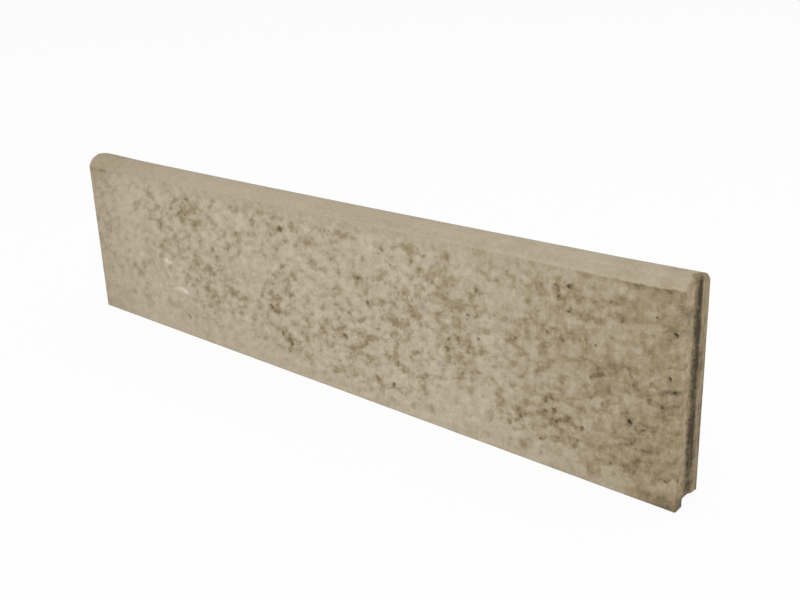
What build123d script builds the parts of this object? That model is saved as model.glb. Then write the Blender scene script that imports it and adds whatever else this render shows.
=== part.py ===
from build123d import *
import os

# A pressed concrete kerb stone for garden paths, standing on its bed.
# X runs along the stone towards its grooved end, Y runs from its front face to its back face, and Z is up.
# The origin is the middle of the bed, halfway between the two end faces.

# The stone's own sizes, in millimetres
length = 1000.0          # from end face to end face, without the tongue
thickness = 50.0         # from the front face to the back face
height = 250.0           # from the bed to the top of the crown
crown_rise = 13.0        # top of the crown above the two creases that end the straight faces
arris_radius = 2.0       # rounding of the four upright arrises, where the faces meet the ends

# The joint between one stone and the next, in millimetres
groove_width = 20.0      # mouth of the groove, across the end face
groove_depth = 6.0       # middle of the groove below the end face
joint_clearance = 1.0    # room left for mortar around a tongue in its groove

# The tongue is the groove's own shape, made smaller by the clearance
tongue_width = groove_width - 2 * joint_clearance
tongue_reach = groove_depth - joint_clearance

# Where the faces, ends and creases lie
half_length = length / 2
half_thickness = thickness / 2
half_groove = groove_width / 2
half_tongue = tongue_width / 2
crease_height = height - crown_rise

with BuildPart() as kerb_stone:
    # Plan of the stone: a straight bar with the groove hollowed into one end and the tongue on the other
    with BuildSketch(Plane.XY):
        with BuildLine():
            front = Line((-half_length, -half_thickness), (half_length, -half_thickness))
            front_land = Line(front @ 1, (half_length, -half_groove))
            groove = ThreePointArc(front_land @ 1, (half_length - groove_depth, 0), (half_length, half_groove))
            back_land = Line(groove @ 1, (half_length, half_thickness))
            back = Line(back_land @ 1, (-half_length, half_thickness))
            back_shoulder = Line(back @ 1, (-half_length, half_tongue))
            tongue = ThreePointArc(
                back_shoulder @ 1, (-half_length - tongue_reach, 0), (-half_length, -half_tongue)
            )
            front_shoulder = Line(tongue @ 1, front @ 0)
        make_face()
    extrude(amount=height)

    # Section of the stone: straight faces up to the creases, then one shallow arc over the top
    with BuildSketch(Plane.YZ):
        with BuildLine():
            bed = Line((-half_thickness, 0), (half_thickness, 0))
            back_side = Line(bed @ 1, (half_thickness, crease_height))
            crown = ThreePointArc(back_side @ 1, (0, height), (-half_thickness, crease_height))
            front_side = Line(crown @ 1, bed @ 0)
        make_face()
    extrude(amount=length, both=True, mode=Mode.INTERSECT)

    # The four upright arrises come out of the mould slightly rounded
    uprights = kerb_stone.edges().filter_by(Axis.Z)
    arrises = uprights.group_by(Axis.Y)[0] + uprights.group_by(Axis.Y)[-1]
    fillet(arrises, radius=arris_radius)

os.makedirs("parts", exist_ok=True)
kerb_stone.part.label = "kerb_stone"
export_step(kerb_stone.part, "parts/kerb_stone.step")
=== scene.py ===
from math import pi, radians, sqrt

import bmesh
import bpy
from mathutils import Matrix, Vector, noise


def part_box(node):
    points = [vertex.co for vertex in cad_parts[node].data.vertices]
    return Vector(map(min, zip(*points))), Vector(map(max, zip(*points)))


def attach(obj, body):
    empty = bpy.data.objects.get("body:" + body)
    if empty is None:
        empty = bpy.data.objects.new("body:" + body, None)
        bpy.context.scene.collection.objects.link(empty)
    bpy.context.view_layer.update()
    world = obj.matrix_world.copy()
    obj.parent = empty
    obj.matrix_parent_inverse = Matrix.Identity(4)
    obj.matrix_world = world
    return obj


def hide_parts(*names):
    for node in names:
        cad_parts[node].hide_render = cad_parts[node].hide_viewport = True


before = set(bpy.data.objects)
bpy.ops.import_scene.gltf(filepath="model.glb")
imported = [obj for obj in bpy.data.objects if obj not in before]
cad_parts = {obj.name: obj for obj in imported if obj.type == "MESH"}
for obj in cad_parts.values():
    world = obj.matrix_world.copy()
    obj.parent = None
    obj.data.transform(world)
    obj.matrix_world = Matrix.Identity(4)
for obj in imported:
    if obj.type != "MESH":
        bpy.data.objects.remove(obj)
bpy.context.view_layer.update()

# The kerb stone
# One piece of sand-coloured concrete, pressed dry and upright in a steel mould. The ram leaves the rounded
# crown smooth, and the mould's walls drag pits and smears down the faces as the stone is pushed out.
low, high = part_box("kerb_stone")
half_length = high.x
half_thickness = high.y
height = high.z
crown_rise = 0.013
crease_height = height - crown_rise
tongue_reach = -low.x - half_length
joint_clearance = 0.001
half_tongue = 0.009
half_groove = half_tongue + joint_clearance
groove_depth = tongue_reach + joint_clearance

# A box up to the creases is cut into small steps each way
steps_along = 330
steps_across = 28
steps_up = 78
same_place = 1e-5
stone = bmesh.new()
bmesh.ops.create_cube(stone, size=1.0)
bmesh.ops.scale(stone, vec=(2 * half_length, 2 * half_thickness, crease_height), verts=stone.verts)
bmesh.ops.translate(stone, vec=(0, 0, crease_height / 2), verts=stone.verts)
for axis, steps in enumerate((steps_along, steps_across, steps_up)):
    uncut = [e for e in stone.edges if abs(e.verts[0].co[axis] - e.verts[1].co[axis]) > same_place]
    bmesh.ops.subdivide_edges(stone, edges=uncut, cuts=steps - 1, use_grid_fill=True)

# The box is drawn up into the crown, and its ends are drawn in to the groove and out to the tongue
end_reach = 0.04           # how far from each end the groove and the tongue draw the mesh
crown_power = 2.7          # how full the crown's section is
full_end_power = 0.8       # how much fuller it is at the ends
full_end_reach = 0.09      # how far from each end it begins to fill out
crown_dish = 0.0022        # how much lower the crown lies halfway along


def arc_rise(offset, half_chord, rise):
    """Height of a shallow arc above its chord, at an offset from the middle of the chord."""
    radius = (half_chord ** 2 + rise ** 2) / (2 * rise)
    return sqrt(max(radius ** 2 - offset ** 2, 0.0)) - (radius - rise)


for vert in stone.verts:
    x, y, z = vert.co
    end_share = max(0.0, (abs(x) - half_length + end_reach) / end_reach)
    side = abs(y)
    fullness = max(0.0, 1.0 - (half_length - abs(x)) / full_end_reach) * full_end_power
    dished = crown_dish * (1 - (x / half_length) ** 2)
    if x < 0:
        outside = max(side - half_groove, 0.0) / (half_thickness - half_groove)
        inside = min(side, half_groove) / half_groove
        drawn = inside * half_tongue + outside * (half_thickness - half_tongue)
        side += (drawn - side) * end_share
        if side < half_tongue:
            x -= end_share * arc_rise(side, half_tongue, tongue_reach)
    elif side < half_groove:
        x -= end_share * arc_rise(side, half_groove, groove_depth)
    crown_share = 1 - (side / half_thickness) ** (crown_power + fullness)
    top = crease_height + (crown_rise - dished) * crown_share
    vert.co = (x, side if y > 0 else -side, z * top / crease_height)

# Blowholes that show on the front face: how far along and up they lie, and their radius
blowholes = (
    (-0.275, 0.200, 0.004), (-0.210, 0.150, 0.004), (-0.280, 0.030, 0.004), (-0.095, 0.090, 0.004),
    (-0.065, 0.205, 0.004), (-0.060, 0.045, 0.005), (0.045, 0.080, 0.004), (0.125, 0.035, 0.003),
    (0.210, 0.105, 0.003), (0.240, 0.155, 0.002), (0.255, 0.130, 0.002), (0.370, 0.215, 0.0015),
    (0.370, 0.190, 0.0015), (0.405, 0.160, 0.0015), (0.355, 0.070, 0.0025), (0.390, 0.060, 0.002),
    (0.445, 0.085, 0.002), (0.460, 0.080, 0.0015), (0.470, 0.205, 0.0015), (0.490, 0.190, 0.002),
    (0.485, 0.145, 0.002),
)
finer_reach = 0.004
finer_cuts = 3
around_holes = set()
for hole_along, hole_up, radius in blowholes:
    centre = Vector((hole_along, -half_thickness, hole_up))
    for face in stone.faces:
        if (face.calc_center_median() - centre).length < radius + finer_reach:
            around_holes.update(face.edges)
holed = [e for e in stone.edges if e in around_holes]
bmesh.ops.subdivide_edges(stone, edges=holed, cuts=finer_cuts, use_grid_fill=True)

# The arrises come out of the mould rounded, and those of the bed less so
arris_round = 0.0015
arris_angle = radians(55)
foot_round = 0.0006
foot_angle = radians(80)
stone.normal_update()
arrises = [
    e for e in stone.edges
    if e.calc_face_angle_signed(0.0) > arris_angle and max(v.co.z for v in e.verts) > foot_round
]
bmesh.ops.bevel(
    stone, geom=arrises, offset=arris_round, segments=2, profile=0.5, affect="EDGES", material=-1
)
stone.normal_update()
foot = [
    e for e in stone.edges
    if e.calc_face_angle_signed(0.0) > foot_angle and max(v.co.z for v in e.verts) < foot_round
]
bmesh.ops.bevel(stone, geom=foot, offset=foot_round, segments=1, profile=0.5, affect="EDGES", material=-1)

# Each point keeps its place in the mould, which the relief and the finish both follow
place_layer = stone.verts.layers.float_vector.new("mould_place")
for vert in stone.verts:
    vert[place_layer] = vert.co
crease = {
    v for v in stone.verts
    if abs(v.co.z - crease_height) < same_place and abs(abs(v.co.y) - half_thickness) < same_place
}
for edge in stone.edges:
    edge.smooth = not (edge.verts[0] in crease and edge.verts[1] in crease)
for face in stone.faces:
    face.smooth = True

# The crease wanders and climbs a little towards the groove, and the foot behind the groove is chipped
crease_slope = 0.0017
crease_wave = 0.0011
crease_waves_per_metre = 38
corner_climb = 0.0026
corner_reach = 0.028
chip_lift = 0.0062
chip_back_lift = 0.0042
chip_length = 0.06
chip_height = 0.03
chip_front = 0.002
chip_deepest = 0.009


def share_of(value, start, end):
    """How far a value has come from start to end, between 0 and 1."""
    return min(max((value - start) / (end - start), 0.0), 1.0)


for vert in stone.verts:
    vert.co.x = min(vert.co.x, half_length)
    x, y, z = vert.co
    near_corner = share_of(x, half_length - corner_reach, half_length)
    climb = crease_slope * x / half_length
    climb += corner_climb * near_corner * share_of(y, 0.0, -half_thickness)
    if vert in crease:
        climb += crease_wave * noise.noise(vert.co * crease_waves_per_metre)
    vert.co.z += climb * min(share_of(z, 0.0, crease_height), share_of(z, height, crease_height))
    lift = chip_lift * share_of(y, chip_front, chip_deepest)
    lift -= (chip_lift - chip_back_lift) * share_of(y, chip_deepest, half_thickness)
    near_groove = share_of(x, half_length - chip_length, half_length)
    vert.co.z += lift * near_groove * share_of(z, chip_height, 0.0)

stone_mesh = bpy.data.meshes.new("kerb_stone_cast")
stone.to_mesh(stone_mesh)
stone.free()
kerb_stone = bpy.data.objects.new("kerb_stone_cast", stone_mesh)
bpy.context.scene.collection.objects.link(kerb_stone)


# The marks of the mould are nodes, made once for the relief and once for the finish
def add(tree, kind, inputs=None, **settings):
    """Adds a node, with its settings and with inputs that are either values or other nodes' outputs."""
    made = tree.nodes.new(kind)
    for name, value in settings.items():
        setattr(made, name, value)
    for name, value in (inputs or {}).items():
        if isinstance(value, bpy.types.NodeSocket):
            tree.links.new(value, made.inputs[name])
        else:
            made.inputs[name].default_value = value
    return made


def joined(operation, first, *others):
    """Values joined in turn by one operation, in the node tree that they come from."""
    for other in others:
        tree = first.id_data if isinstance(first, bpy.types.NodeSocket) else other.id_data
        first = add(tree, "ShaderNodeMath", {0: first, 1: other}, operation=operation).outputs[0]
    return first


def product(*values):
    """All the values multiplied."""
    return joined("MULTIPLY", *values)


def total(*values):
    """All the values added up."""
    return joined("ADD", *values)


def less(*values):
    """The first value less all the others."""
    return joined("SUBTRACT", *values)


def largest(*values):
    """The largest of the values."""
    return joined("MAXIMUM", *values)


def scaled(value, factor, added):
    """A value times a factor, with an amount added."""
    inputs = {0: value, 1: factor, 2: added}
    return add(value.id_data, "ShaderNodeMath", inputs, operation="MULTIPLY_ADD").outputs[0]


def between(value, span, change=(0.0, 1.0)):
    """A smooth change from one value to another, as a value goes from the start of a span to its end."""
    start, end = span
    first, last = change
    inputs = {"Value": value, "From Min": start, "From Max": end, "To Min": first, "To Max": last}
    return add(value.id_data, "ShaderNodeMapRange", inputs, interpolation_type="SMOOTHSTEP").outputs[0]


def vector(operation, place, *others):
    """Outputs of one vector operation on a place."""
    inputs = dict(enumerate((place, *others)))
    return add(place.id_data, "ShaderNodeVectorMath", inputs, operation=operation).outputs


def stretched(place, scale):
    """The place, scaled along each axis, which draws a pattern out along the axes with small scales."""
    return vector("MULTIPLY", place, scale)[0]


def spot_offset(place, spot_along, spot_up, half_long, half_high):
    """Distance from the middle of a spot on the front face, where 1 is the spot's own reach each way."""
    offset = vector("SUBTRACT", place, (spot_along, -half_thickness, spot_up))[0]
    offset = stretched(offset, (1.0 / half_long, 1.0 / half_thickness, 1.0 / half_high))
    return vector("LENGTH", offset)["Value"]


cloud_span = (0.25, 0.75)  # what nearly all of a cloud's values lie between
plain = 1.0                # detail of the plainest clouds
crisp = 0.6                # roughness of the clouds with the sharpest detail


def cloud(place, per_metre, detail=2.0, roughness=0.5):
    """Soft random clouds, with so many to the metre."""
    inputs = {"Vector": place, "Scale": per_metre, "Detail": detail, "Roughness": roughness}
    return add(place.id_data, "ShaderNodeTexNoise", inputs).outputs[0]


def first_part(colour):
    """The first of a colour's three parts."""
    return add(colour.id_data, "ShaderNodeSeparateXYZ", {0: colour}).outputs[0]


dot_edge = 0.25            # part of a cell over which a dot fades out


def dots(place, cells_per_metre, share, reach):
    """Scattered round dots, one in some share of the cells, with a radius up to a part of a cell."""
    cell = add(place.id_data, "ShaderNodeTexVoronoi", {"Vector": place, "Scale": cells_per_metre}).outputs
    radius = product(between(first_part(cell["Color"]), (1.0 - share, 1.0)), reach)
    return between(less(radius, cell["Distance"]), (0.0, dot_edge))


# Where one surface of the stone passes into the next
end_seam = (0.0014, 0.0006)
groove_lip = 0.001
crease_blend = 0.001
crease_notch = 0.0013
crease_notches_per_metre = 214.0


def surfaces_at(place):
    """A place's three axes, and masks of the stone's surfaces there."""
    along, across, up = add(place.id_data, "ShaderNodeSeparateXYZ", {0: place}).outputs
    groove_radius = (half_groove ** 2 + groove_depth ** 2) / (2 * groove_depth)
    hollow = largest(less(groove_radius ** 2, product(across, across)), 0.0)
    hollow = add(place.id_data, "ShaderNodeMath", {0: hollow}, operation="SQRT").outputs[0]
    hollow = largest(less(hollow, groove_radius - groove_depth), 0.0)
    behind_end = less(half_length, hollow, along)
    end = between(behind_end, end_seam)
    far_end = between(along, [depth - half_length for depth in end_seam])
    notches = cloud(place, crease_notches_per_metre, roughness=crisp)
    notches = between(notches, cloud_span, (-crease_notch, crease_notch))
    above = between(total(up, notches), (crease_height - crease_blend, crease_height))
    crown = product(above, less(1.0, end, far_end))
    return {
        "along": along,
        "across": across,
        "up": up,
        "behind_end": behind_end,
        "end": end,
        "in_groove": product(end, between(hollow, (0.0, groove_lip))),
        "crown": crown,
        "face": less(1.0, crown),
    }


# The texture is closer on the brow under the crease, on the foot, at the tongued end and on the back land
brow_strip = 0.022
brow_stretch = (0.15, 0.38)
brow_openness = (0.30, 0.25)
foot_stretch = (-0.35, 0.12)
foot_strip = (0.085, 0.029)
foot_openness = 0.25
tongued_end_reach = 0.20
tongued_end_openness = 0.5
land_openness = (0.9, 0.3)


def openness_at(where):
    """How far the texture can open on each surface."""
    brow = between(where["along"], brow_stretch, brow_openness)
    foot_top = between(where["along"], foot_stretch, foot_strip)
    land = between(where["across"], (0.0, half_groove), land_openness)
    off_tongue = (-half_length, tongued_end_reach - half_length)
    return product(
        between(where["up"], (crease_height, crease_height - brow_strip), (brow, 1.0)),
        between(where["up"], (0.0, foot_top), (foot_openness, 1.0)),
        between(where["along"], off_tongue, (tongued_end_openness, 1.0)),
        between(where["end"], (0.0, 1.0), (1.0, land)),
        less(1.0, where["in_groove"]),
        where["face"],
    )


# The mould's drag: how much finer the texture grows per metre, how fine it is halfway along, and its slant
drag_along = (0.2, 0.87)
drag_up = (0.35, 1.2)
drag_slant = 0.25


def dragged(where):
    """The place as the mould's drag has drawn it out."""
    drawn_along = product(where["along"], scaled(where["along"], *drag_along))
    drawn_up = product(where["up"], scaled(where["along"], *drag_up))
    drawn_up = less(drawn_up, product(where["along"], drag_slant))
    inputs = {"X": drawn_along, "Y": where["across"], "Z": drawn_up}
    return add(drawn_up.id_data, "ShaderNodeCombineXYZ", inputs).outputs[0]


# Layers of the mix that the walls smear down the face, each ending in ragged drips
layers_per_metre = 40.0
drip_stretch = (1.0, 1.0, 0.25)
drips_per_metre = 62.0
drip_detail = 3.0
drip_layers = 2.0
layer_sway_stretch = (1.0, 1.0, 0.5)
layer_sways_per_metre = 25.0
layer_sway_layers = 1.2
smear_edge = (1.0, 0.80)
smear_stretch = (-0.30, 0.10)
smear_opening = (0.08, 0.21)
smear_level = 0.45
smear_gaps_per_metre = 22.0
smear_gap_span = (0.35, 0.6)
smear_gap_share = 0.2


def smears_at(place, where):
    """How much the smeared layers open or close the texture."""
    drips = cloud(stretched(place, drip_stretch), drips_per_metre, drip_detail, crisp)
    sways = cloud(stretched(place, layer_sway_stretch), layer_sways_per_metre, plain)
    layers = total(
        product(where["up"], layers_per_metre),
        product(drips, drip_layers),
        product(sways, layer_sway_layers),
    )
    rise = add(place.id_data, "ShaderNodeMath", {0: layers}, operation="FRACT").outputs[0]
    smear = product(rise, between(rise, smear_edge))
    gaps = cloud(place, smear_gaps_per_metre, plain)
    opening = product(
        between(where["along"], smear_stretch, smear_opening),
        between(gaps, smear_gap_span, (smear_gap_share, 1.0)),
    )
    return product(less(smear_level, smear), opening)


# Patches of the front face that came out more open or closer than the rest: how far along and up they lie,
# how far they reach both ways, and how much they open the texture
patches = (
    (-0.275, 0.195, 0.040, 0.022, 0.10), (-0.110, 0.205, 0.050, 0.018, 0.07),
    (-0.235, 0.100, 0.045, 0.035, 0.08), (-0.090, 0.092, 0.022, 0.016, 0.12),
    (-0.050, 0.048, 0.030, 0.018, 0.10), (0.040, 0.070, 0.055, 0.030, 0.05),
    (0.120, 0.110, 0.060, 0.045, 0.06), (0.150, 0.060, 0.050, 0.020, 0.05),
    (0.225, 0.110, 0.040, 0.025, 0.07), (0.350, 0.070, 0.030, 0.020, 0.07),
    (0.335, 0.210, 0.035, 0.016, 0.08), (0.200, 0.165, 0.070, 0.030, 0.09),
    (-0.140, 0.140, 0.035, 0.025, -0.08), (-0.030, 0.150, 0.030, 0.030, -0.06),
    (0.290, 0.175, 0.030, 0.025, -0.10), (0.250, 0.035, 0.060, 0.018, -0.08),
    (-0.430, 0.130, 0.050, 0.060, -0.06),
)
patch_edge = (1.5, 0.3)
zones_per_metre = 27.0
zone_span = (0.2, 0.8)
zone_opening = 0.07
texture_per_metre = 74.0
texture_span = (0.40, 0.80)

# Pits in the open texture: cells to the metre, share of the cells with a pit, and reach in parts of a cell
coarse_pits = (75.0, 0.5, 0.42)
fine_pits = (150.0, 0.6, 0.6)
pit_span = (0.2, 0.8)
shakes_per_metre = 150.0
shake_middle = (0.5, 0.5, 0.5)
shake_reach = (0.007, 0.007, 0.007)
pit_shake_reach = (0.003, 0.003, 0.003)


def press_marks(place, detail):
    """All the marks of the mould at a place, by name."""
    where = surfaces_at(place)
    openness = openness_at(where)
    drawn = dragged(where)
    zones = between(cloud(place, zones_per_metre, plain), zone_span, (-zone_opening, zone_opening))
    for *spot, opening in patches:
        zones = total(between(spot_offset(place, *spot), patch_edge, (0.0, opening)), zones)
    texture = total(cloud(drawn, texture_per_metre, detail, crisp), zones, smears_at(place, where))
    open_texture = product(between(texture, texture_span), openness)
    shake_inputs = {"Vector": place, "Scale": shakes_per_metre, "Detail": plain}
    shake = add(place.id_data, "ShaderNodeTexNoise", shake_inputs).outputs["Color"]
    shake = vector("SUBTRACT", shake, shake_middle)[0]
    pit_place = vector("MULTIPLY_ADD", shake, pit_shake_reach, place)[0]
    pits = largest(dots(pit_place, *coarse_pits), dots(pit_place, *fine_pits))
    return where | {
        "openness": openness,
        "open": open_texture,
        "pits": product(pits, between(open_texture, pit_span)),
        "shaken": vector("MULTIPLY_ADD", shake, shake_reach, place)[0],
        "drawn": drawn,
    }


# The relief: the open texture, the blowholes and a slow sway are pressed into the mesh
relief_detail = 1.0
relief_stretch = (0.1, 0.35)
relief_shares = (1.0, 0.6)
relief_margin = (0.003, 0.012)
open_depth = 0.0006
hole_depth = 0.0022
hole_edge = (1.3, 0.5)
rim_edge = (2.0, 0.6)
far_from_holes = 10.0
sway_depth = 0.0005
sways_per_metre = 22.0
relief = bpy.data.node_groups.new("stone_relief", "GeometryNodeTree")
relief.interface.new_socket("Geometry", in_out="INPUT", socket_type="NodeSocketGeometry")
relief.interface.new_socket("Geometry", in_out="OUTPUT", socket_type="NodeSocketGeometry")
uncut_stone = add(relief, "NodeGroupInput").outputs[0]
place = add(
    relief, "GeometryNodeInputNamedAttribute", {"Name": "mould_place"}, data_type="FLOAT_VECTOR"
).outputs[0]
marks = press_marks(place, relief_detail)
hole_ratio = far_from_holes
for hole_along, hole_up, radius in blowholes:
    gap = vector("DISTANCE", marks["shaken"], (hole_along, -half_thickness, hole_up))["Value"]
    hole_ratio = joined("MINIMUM", joined("DIVIDE", gap, radius), hole_ratio)
holes = between(hole_ratio, hole_edge)
rims = between(hole_ratio, rim_edge)
off_ends = product(
    between(marks["along"], [half_length - margin for margin in relief_margin]),
    between(marks["along"], [margin - half_length for margin in relief_margin]),
)
depth = total(
    product(marks["open"], off_ends, between(marks["along"], relief_stretch, relief_shares), open_depth),
    product(holes, hole_depth),
    product(cloud(place, sways_per_metre), sway_depth),
)
normal = add(relief, "GeometryNodeInputNormal").outputs[0]
inward = add(relief, "ShaderNodeVectorMath", {0: normal, "Scale": product(depth, -1.0)}, operation="SCALE")
marked = uncut_stone
for name, value in (("blowhole", holes), ("blowhole_rim", rims)):
    marked = add(
        relief, "GeometryNodeStoreNamedAttribute",
        {"Geometry": marked, "Name": name, "Value": value}, data_type="FLOAT", domain="POINT",
    ).outputs[0]
cut = add(relief, "GeometryNodeSetPosition", {"Geometry": marked, "Offset": inward.outputs[0]})
add(relief, "NodeGroupOutput", {0: cut.outputs[0]})

kerb_stone.modifiers.new("relief", "NODES").node_group = relief
bpy.context.view_layer.update()
cut_stone = kerb_stone.evaluated_get(bpy.context.evaluated_depsgraph_get())
kerb_stone.data = bpy.data.meshes.new_from_object(cut_stone)
kerb_stone.modifiers.clear()

# The finish is one tone at each place, which takes its colour from dark brown to pale sand. A tone is what a
# mark adds, and a share is how much of a mark is left. A stretch runs along the stone and a strip up it, and
# a pair goes from where a mark begins to where it is whole.
finish_detail = 4.0
concrete = bpy.data.materials.new("pressed_concrete")
concrete.use_nodes = True
tree = concrete.node_tree
tree.nodes.clear()
place, holes, rims = (
    add(tree, "ShaderNodeAttribute", attribute_name=name, attribute_type="GEOMETRY").outputs[output]
    for name, output in (("mould_place", "Vector"), ("blowhole", "Fac"), ("blowhole_rim", "Fac"))
)
marks = press_marks(place, finish_detail)
along = marks["along"]
across = marks["across"]
up = marks["up"]
off_end = less(1.0, marks["end"])

# The mix: clouds, lumps, grains and single grains of sand
stone_tone = 0.855
broad_per_metre = 32.0
broad_tones = (-0.04, 0.04)
broad_stretch = (0.10, 0.35)
broad_shares = (1.0, 1.7)
lumps_per_metre = 86.0
lump_tones = (0.16, -0.10)
lump_stretch = (0.15, 0.35)
lump_shares = (1.0, 0.75)
lump_open_shares = (0.5, 1.0)
mottle_per_metre = 194.0
mottle_tones = (0.05, -0.05)
grains_per_metre = 434.0
grain_tones = (-0.03, 0.03)
sand_per_metre = 650.0
sand_tones = (-0.03, 0.03)
lumps = cloud(marks["drawn"], lumps_per_metre)
grain = cloud(place, grains_per_metre, roughness=crisp)
sand = add(tree, "ShaderNodeTexVoronoi", {"Vector": place, "Scale": sand_per_metre}).outputs["Color"]
lumpy = product(
    between(marks["openness"], (0.0, 1.0), lump_open_shares),
    between(along, lump_stretch, lump_shares),
    marks["face"],
    between(lumps, cloud_span, lump_tones),
)
broad = product(
    between(cloud(place, broad_per_metre), cloud_span, broad_tones),
    between(along, broad_stretch, broad_shares),
)

# The faces: open texture, pits, blowholes, drag lines, scuffs, and a browner mix towards the grooved end
open_stretch = (0.05, 0.35)
open_tones = (-0.43, -0.33)
pit_stretch = (0.15, 0.35)
# The pits and blowholes are darkened, partly as dirt in them and partly as painted shade in the hollows
pit_tones = (-0.18, -0.21)
hole_tone = -0.22
rim_tone = -0.12
rough_starts = (-0.12, 0.05)
rough_ends = (0.42, 0.30)
rough_strip = (0.16, 0.09)
rough_tone = 0.04
rough_open_tone = -0.12
brown_stretch = (0.12, 0.56)
brown_brow_strip = 0.03
brown_brow_share = 0.7
brown_foot_strip = 0.05
brown_foot_share = 0.54
brown_tones = (-0.355, -0.40)
brow_shade_strip = 0.025
brow_shade_stretch = (0.38, 0.30)
brow_shade_tone = -0.08
drag_line_stretch = (1.0, 1.0, 0.2)
drag_lines_per_metre = 234.0
drag_line_tones = (0.045, -0.045)
drag_line_starts = (-0.10, 0.25)
scuff_spots = ((-0.320, 0.111, 0.012, 0.007), (-0.290, 0.072, 0.022, 0.007))
scuff_edge = (1.5, 0.2)
scuff_tone = 0.46
rough_band = product(between(along, rough_starts), between(along, rough_ends), between(up, rough_strip))
open_tone = total(between(along, open_stretch, open_tones), product(rough_band, rough_open_tone))
brown_face = product(
    between(up, (crease_height, crease_height - brown_brow_strip), (brown_brow_share, 1.0)),
    between(up, (0.0, brown_foot_strip), (brown_foot_share, 1.0)),
)
browned = product(between(along, brown_stretch), largest(brown_face, marks["end"]), marks["face"])
brow_shade = product(
    between(up, (crease_height - brow_shade_strip, crease_height)),
    between(along, brow_shade_stretch),
    marks["face"],
)
drag_lines = cloud(stretched(place, drag_line_stretch), drag_lines_per_metre, roughness=crisp)
drag_lines = product(
    between(drag_lines, cloud_span, drag_line_tones),
    between(along, drag_line_starts),
    marks["face"],
)
scuffs = 0.0
for spot in scuff_spots:
    bell = between(spot_offset(marks["shaken"], *spot), scuff_edge)
    scuffs = largest(product(bell, bell), scuffs)

# The crown: smooth and of a slightly darker tone, and duller at both ends. Its front slope is darker with
# painted shade. The faces are dulled with it at the tongued end.
crown_tone = -0.11
dull_left_stretch = (-0.24, -0.48)
dull_right_stretch = (0.42, 0.48)
dull_right_share = 0.6
dull_crown_tone = -0.10
painted_slope_shade_stretch = (-0.10, 0.15)
painted_slope_shade_depth = (0.0, -0.010)
painted_slope_shade_below_top = (0.002, 0.006)
painted_slope_shade_above_crease = (0.001, 0.004)
painted_slope_shade_tone = -0.045
dull_end_reach = 0.11
dull_end_crown_share = 0.3
dull_end_tone = -0.16
dull_crown = product(
    largest(between(along, dull_left_stretch), between(along, dull_right_stretch, (0.0, dull_right_share))),
    marks["crown"],
)
# Painted shade on the crown's front slope, from about the middle towards the grooved end
painted_slope_shade = product(
    between(along, painted_slope_shade_stretch),
    between(across, painted_slope_shade_depth),
    between(up, [height - drop for drop in painted_slope_shade_below_top]),
    between(up, [crease_height + rise for rise in painted_slope_shade_above_crease]),
    marks["crown"],
)
dull_end = product(
    between(along, (dull_end_reach - half_length, -half_length)),
    between(marks["crown"], (0.0, 1.0), (1.0, dull_end_crown_share)),
)

# Painted shade under the crease at both ends and at the grooved end's corner. The grooved end is also darker
# on its rim and top and on its foot
shade_clouds_per_metre = 72.0
painted_crease_shade_right = (0.30, 0.40)
painted_crease_shade_left = (-0.39, -0.45)
painted_crease_shade_edge = 0.002
painted_crease_shade_below = (0.009, 0.003)
painted_crease_shade_span = (0.35, 0.65)
painted_crease_shade_shares = (0.3, 1.4)
painted_crease_shade_tone = -0.13
darker_rim_reach = (0.004, 0.0015)
darker_rim_tone = -0.18
darker_end_band_reach = 0.004
darker_end_band_tone = -0.12
painted_corner_shade_stretch = (0.42, 0.47)
painted_corner_shade_below = (0.016, 0.004)
painted_corner_shade_span = (0.3, 0.7)
painted_corner_shade_shares = (0.5, 1.3)
painted_corner_shade_tone = -0.23
darker_foot_stretch = (0.43, 0.48)
darker_foot_high_strip = (0.12, 0.05)
darker_foot_high_share = 0.3
darker_foot_low_strip = (0.020, 0.006)
darker_foot_low_share = 1.5
darker_foot_tone = -0.20
shade_clouds = cloud(place, shade_clouds_per_metre)
# Painted shade: a dark, ragged line just under the crease near both ends
painted_crease_shade = product(
    largest(between(along, painted_crease_shade_right), between(along, painted_crease_shade_left)),
    between(up, (crease_height, crease_height - painted_crease_shade_edge)),
    between(up, [crease_height - drop for drop in painted_crease_shade_below]),
    between(shade_clouds, painted_crease_shade_span, painted_crease_shade_shares),
    off_end,
)
# The crown is darker along its rim at the grooved end
darker_rim = product(between(marks["behind_end"], darker_rim_reach), marks["crown"])
# The grooved end is darker in a band at the crease's height
darker_end_band = product(
    marks["end"],
    between(up, (crease_height - darker_end_band_reach, crease_height + darker_end_band_reach)),
)
# Painted shade under the crease near the grooved end, in clouds
painted_corner_shade = product(
    between(along, painted_corner_shade_stretch),
    between(up, [crease_height - drop for drop in painted_corner_shade_below]),
    between(shade_clouds, painted_corner_shade_span, painted_corner_shade_shares),
    off_end,
    marks["face"],
)
# The front face is darker towards the bottom near the grooved end
darker_foot = product(
    between(along, darker_foot_stretch),
    total(
        between(up, darker_foot_high_strip, (0.0, darker_foot_high_share)),
        between(up, darker_foot_low_strip, (0.0, darker_foot_low_share)),
    ),
    between(across, (0.0, -half_groove)),
)

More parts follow.
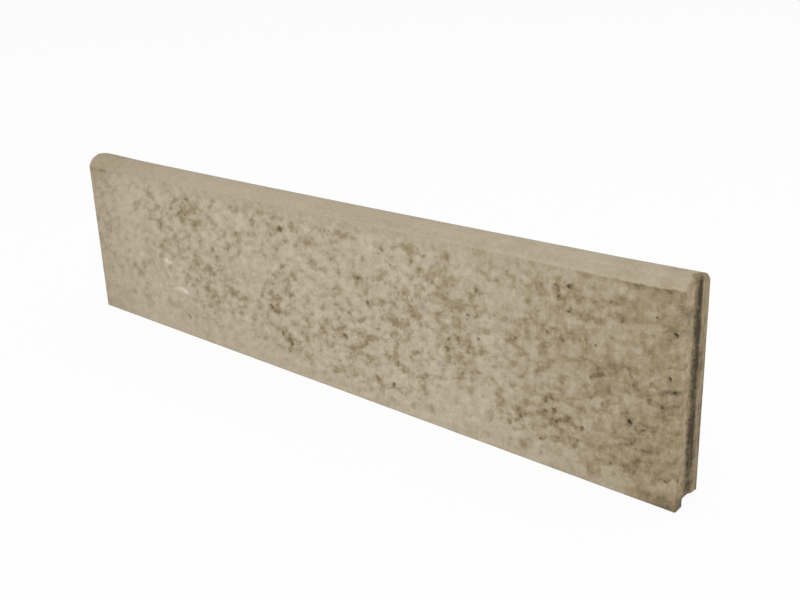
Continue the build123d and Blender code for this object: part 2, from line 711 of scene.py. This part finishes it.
# The grooved end: a pale front land, a dark band deep in the groove that is partly dirt and partly painted
# shade, and streaks there and on the back land
front_land_edge = 0.001
front_land_tone = 0.05
band_raggedness = 0.0012
band_rags_per_metre = 234.0
band_starts = (0.0007, 0.0078)
band_ends = 0.0088
band_fades_strip = (0.24, 0.12)
band_fades = (0.0104, 0.0115)
band_groove_share = 0.12
band_below_top = (-0.002, 0.018)
band_top_share = 0.2
band_foot_strip = 0.035
band_foot_share = 0.75
streak_stretch = (0.9, 1.0, 0.06)
streaks_per_metre = 434.0
band_streak_span = (0.3, 0.7)
groove_dirt_and_shade_tones = (-0.54, -0.38)
back_land_edge = 0.001
back_land_strip = (0.21, 0.16)
back_land_top_share = 0.2
back_land_streak_span = (0.35, 0.6)
back_land_tones = (-0.28, -0.02)
front_land = product(marks["end"], between(across, (front_land_edge - half_groove, -half_groove)))
rags = cloud(place, band_rags_per_metre, roughness=crisp)
rags = between(rags, cloud_span, (-band_raggedness, band_raggedness))
band_fade = between(up, band_fades_strip, band_fades)
# Painted shade with dirt: the groove's far side is darkened deep down, raggedly, fading at the top and foot
groove_dirt_and_shade = product(
    marks["end"],
    between(total(across, rags), band_starts),
    between(across, (band_fade, band_ends)),
)
groove_dirt_and_shade = product(
    largest(product(marks["in_groove"], band_groove_share), groove_dirt_and_shade),
    between(up, [height - drop for drop in band_below_top], (band_top_share, 1.0)),
    between(up, (0.0, band_foot_strip), (band_foot_share, 1.0)),
)
streaks = cloud(stretched(place, streak_stretch), streaks_per_metre, roughness=crisp)
back_land = product(
    marks["end"],
    between(across, (half_groove, half_groove + back_land_edge)),
    between(up, back_land_strip, (back_land_top_share, 1.0)),
)

# All the tones together, and the colours that they stand for
tone = total(
    product(marks["open"], open_tone),
    product(marks["pits"], between(along, pit_stretch, pit_tones)),
    product(holes, hole_tone),
    product(rims, rim_tone),
    product(browned, between(marks["end"], (0.0, 1.0), brown_tones)),
    product(painted_crease_shade, painted_crease_shade_tone),
    product(dull_crown, dull_crown_tone),
    product(painted_slope_shade, painted_slope_shade_tone),
    product(dull_end, dull_end_tone),
    product(brow_shade, brow_shade_tone),
    product(marks["crown"], crown_tone),
    product(darker_rim, darker_rim_tone),
    product(darker_end_band, darker_end_band_tone),
    product(painted_corner_shade, painted_corner_shade_tone),
    product(darker_foot, darker_foot_tone),
    product(front_land, front_land_tone),
    product(rough_band, rough_tone),
    product(scuffs, scuff_tone),
    drag_lines,
    product(groove_dirt_and_shade, between(streaks, band_streak_span, groove_dirt_and_shade_tones)),
    product(back_land, between(streaks, back_land_streak_span, back_land_tones)),
    lumpy,
    between(cloud(place, mottle_per_metre, roughness=crisp), cloud_span, mottle_tones),
    between(grain, cloud_span, grain_tones),
    between(first_part(sand), (0.0, 1.0), sand_tones),
    broad,
    stone_tone,
)
palest_tone = 1.25
palest_colour = (0.700, 0.625, 0.510)
tone_colours = (
    (0.0, (0.060, 0.047, 0.030)),
    (0.35, (0.246, 0.191, 0.114)),
    (0.53, (0.331, 0.264, 0.164)),
    (0.70, (0.413, 0.347, 0.250)),
    (1.0, (0.530, 0.460, 0.352)),
)
ramp = add(tree, "ShaderNodeValToRGB", {"Fac": joined("DIVIDE", tone, palest_tone)})
stops = ramp.color_ramp.elements
stops.remove(stops[0])
stops[0].position = 1.0
stops[0].color = (*palest_colour, 1.0)
for level, colour in tone_colours:
    stops.new(level / palest_tone).color = (*colour, 1.0)

# The finest relief is left to the skin, in millimetres of height
millimetre = 0.001
open_height = -0.15
pit_height = -0.3
lump_height = -0.15
grain_height = 0.2
skin_roughness = 0.9
skin_shine = 0.25
fine_relief = total(
    product(marks["open"], open_height),
    product(marks["pits"], pit_height),
    product(lumps, lump_height),
    product(grain, grain_height),
)
bump = add(tree, "ShaderNodeBump", {"Strength": 1.0, "Distance": millimetre, "Height": fine_relief})
skin = add(tree, "ShaderNodeBsdfPrincipled", {
    "Base Color": ramp.outputs[0],
    "Roughness": skin_roughness,
    "Specular IOR Level": skin_shine,
    "Normal": bump.outputs[0],
})
add(tree, "ShaderNodeOutputMaterial", {"Surface": skin.outputs[0]})
kerb_stone.data.materials.clear()
kerb_stone.data.materials.append(concrete)

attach(kerb_stone, "root")
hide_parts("kerb_stone")

# The studio floor
# A plain pale floor, painted matt, that the stone stands on. It reads as white to the camera and keeps a
# faint shadow.
floor_half = 20.0
floor_colour = (0.95, 0.95, 0.95, 1.0)
white = (1.0, 1.0, 1.0, 1.0)
glow_share = 0.9
floor_mesh = bpy.data.meshes.new("studio_floor")
sheet = bmesh.new()
bmesh.ops.create_grid(sheet, x_segments=1, y_segments=1, size=floor_half)
sheet.to_mesh(floor_mesh)
sheet.free()
floor = bpy.data.objects.new("studio_floor", floor_mesh)
bpy.context.scene.collection.objects.link(floor)


def seen_by_camera(tree):
    """1 for what the camera sees straight, in a mirror or through glass, and 0 for what only lights."""
    rays = add(tree, "ShaderNodeLightPath").outputs
    return largest(rays["Is Camera Ray"], rays["Is Glossy Ray"], rays["Is Transmission Ray"])


pale = bpy.data.materials.new("pale_floor")
pale.use_nodes = True
tree = pale.node_tree
tree.nodes.clear()
paint = add(tree, "ShaderNodeBsdfDiffuse", {"Color": floor_colour}).outputs[0]
glow = add(tree, "ShaderNodeEmission", {"Color": white, "Strength": 1.0}).outputs[0]
glowing = product(seen_by_camera(tree), glow_share)
mixed = add(tree, "ShaderNodeMixShader", {0: glowing, 1: paint, 2: glow}).outputs[0]
add(tree, "ShaderNodeOutputMaterial", {"Surface": mixed})
floor_mesh.materials.append(pale)

# The studio light
# A bright white room all round, which the camera sees as plain white, and one large soft lamp high on the
# front right.
room_strength = 0.68
lamp_place = Vector((3.4, -3.2, 4.8))
lamp_aim = Vector((0.0, 0.0, 0.12))
lamp_size = 3.0
lamp_power = 184.0
world = bpy.data.worlds.new("white_room")
bpy.context.scene.world = world
world.use_nodes = True
tree = world.node_tree
tree.nodes.clear()
room = add(tree, "ShaderNodeBackground", {"Color": white, "Strength": room_strength}).outputs[0]
backdrop = add(tree, "ShaderNodeBackground", {"Color": white, "Strength": 1.0}).outputs[0]
mixed = add(tree, "ShaderNodeMixShader", {0: seen_by_camera(tree), 1: room, 2: backdrop}).outputs[0]
add(tree, "ShaderNodeOutputWorld", {"Surface": mixed})

lamp_data = bpy.data.lights.new("soft_lamp", "AREA")
lamp_data.shape = "SQUARE"
lamp_data.size = lamp_size
lamp_data.energy = lamp_power
lamp = bpy.data.objects.new("soft_lamp", lamp_data)
lamp.location = lamp_place
lamp.rotation_mode = "QUATERNION"
lamp.rotation_quaternion = (lamp_aim - lamp_place).to_track_quat("-Z", "Y")
bpy.context.scene.collection.objects.link(lamp)
bpy.context.scene.view_settings.view_transform = "Standard"

# The camera
# It stands off the grooved end, in front of the stone and above it, where the photograph was taken from.
image_width = 800
image_height = 600
focal_pixels = 999.6
middle_pixel = (380.6, 257.6)
camera_place = Vector((0.8746, -0.8661, 0.5822))
camera_turn = radians(42.198)
camera_dip = radians(18.604)
camera_roll = radians(2.475)
lens = bpy.data.cameras.new("camera")
lens.sensor_width = 36.0
lens.lens = focal_pixels / image_width * lens.sensor_width
lens.shift_x = (image_width / 2 - middle_pixel[0]) / image_width
lens.shift_y = (middle_pixel[1] - image_height / 2) / image_width
camera = bpy.data.objects.new("camera", lens)
aim = Matrix.Rotation(camera_turn, 4, "Z") @ Matrix.Rotation(pi / 2 - camera_dip, 4, "X")
camera.matrix_world = Matrix.Translation(camera_place) @ aim @ Matrix.Rotation(-camera_roll, 4, "Z")
bpy.context.scene.collection.objects.link(camera)
bpy.context.scene.camera = camera
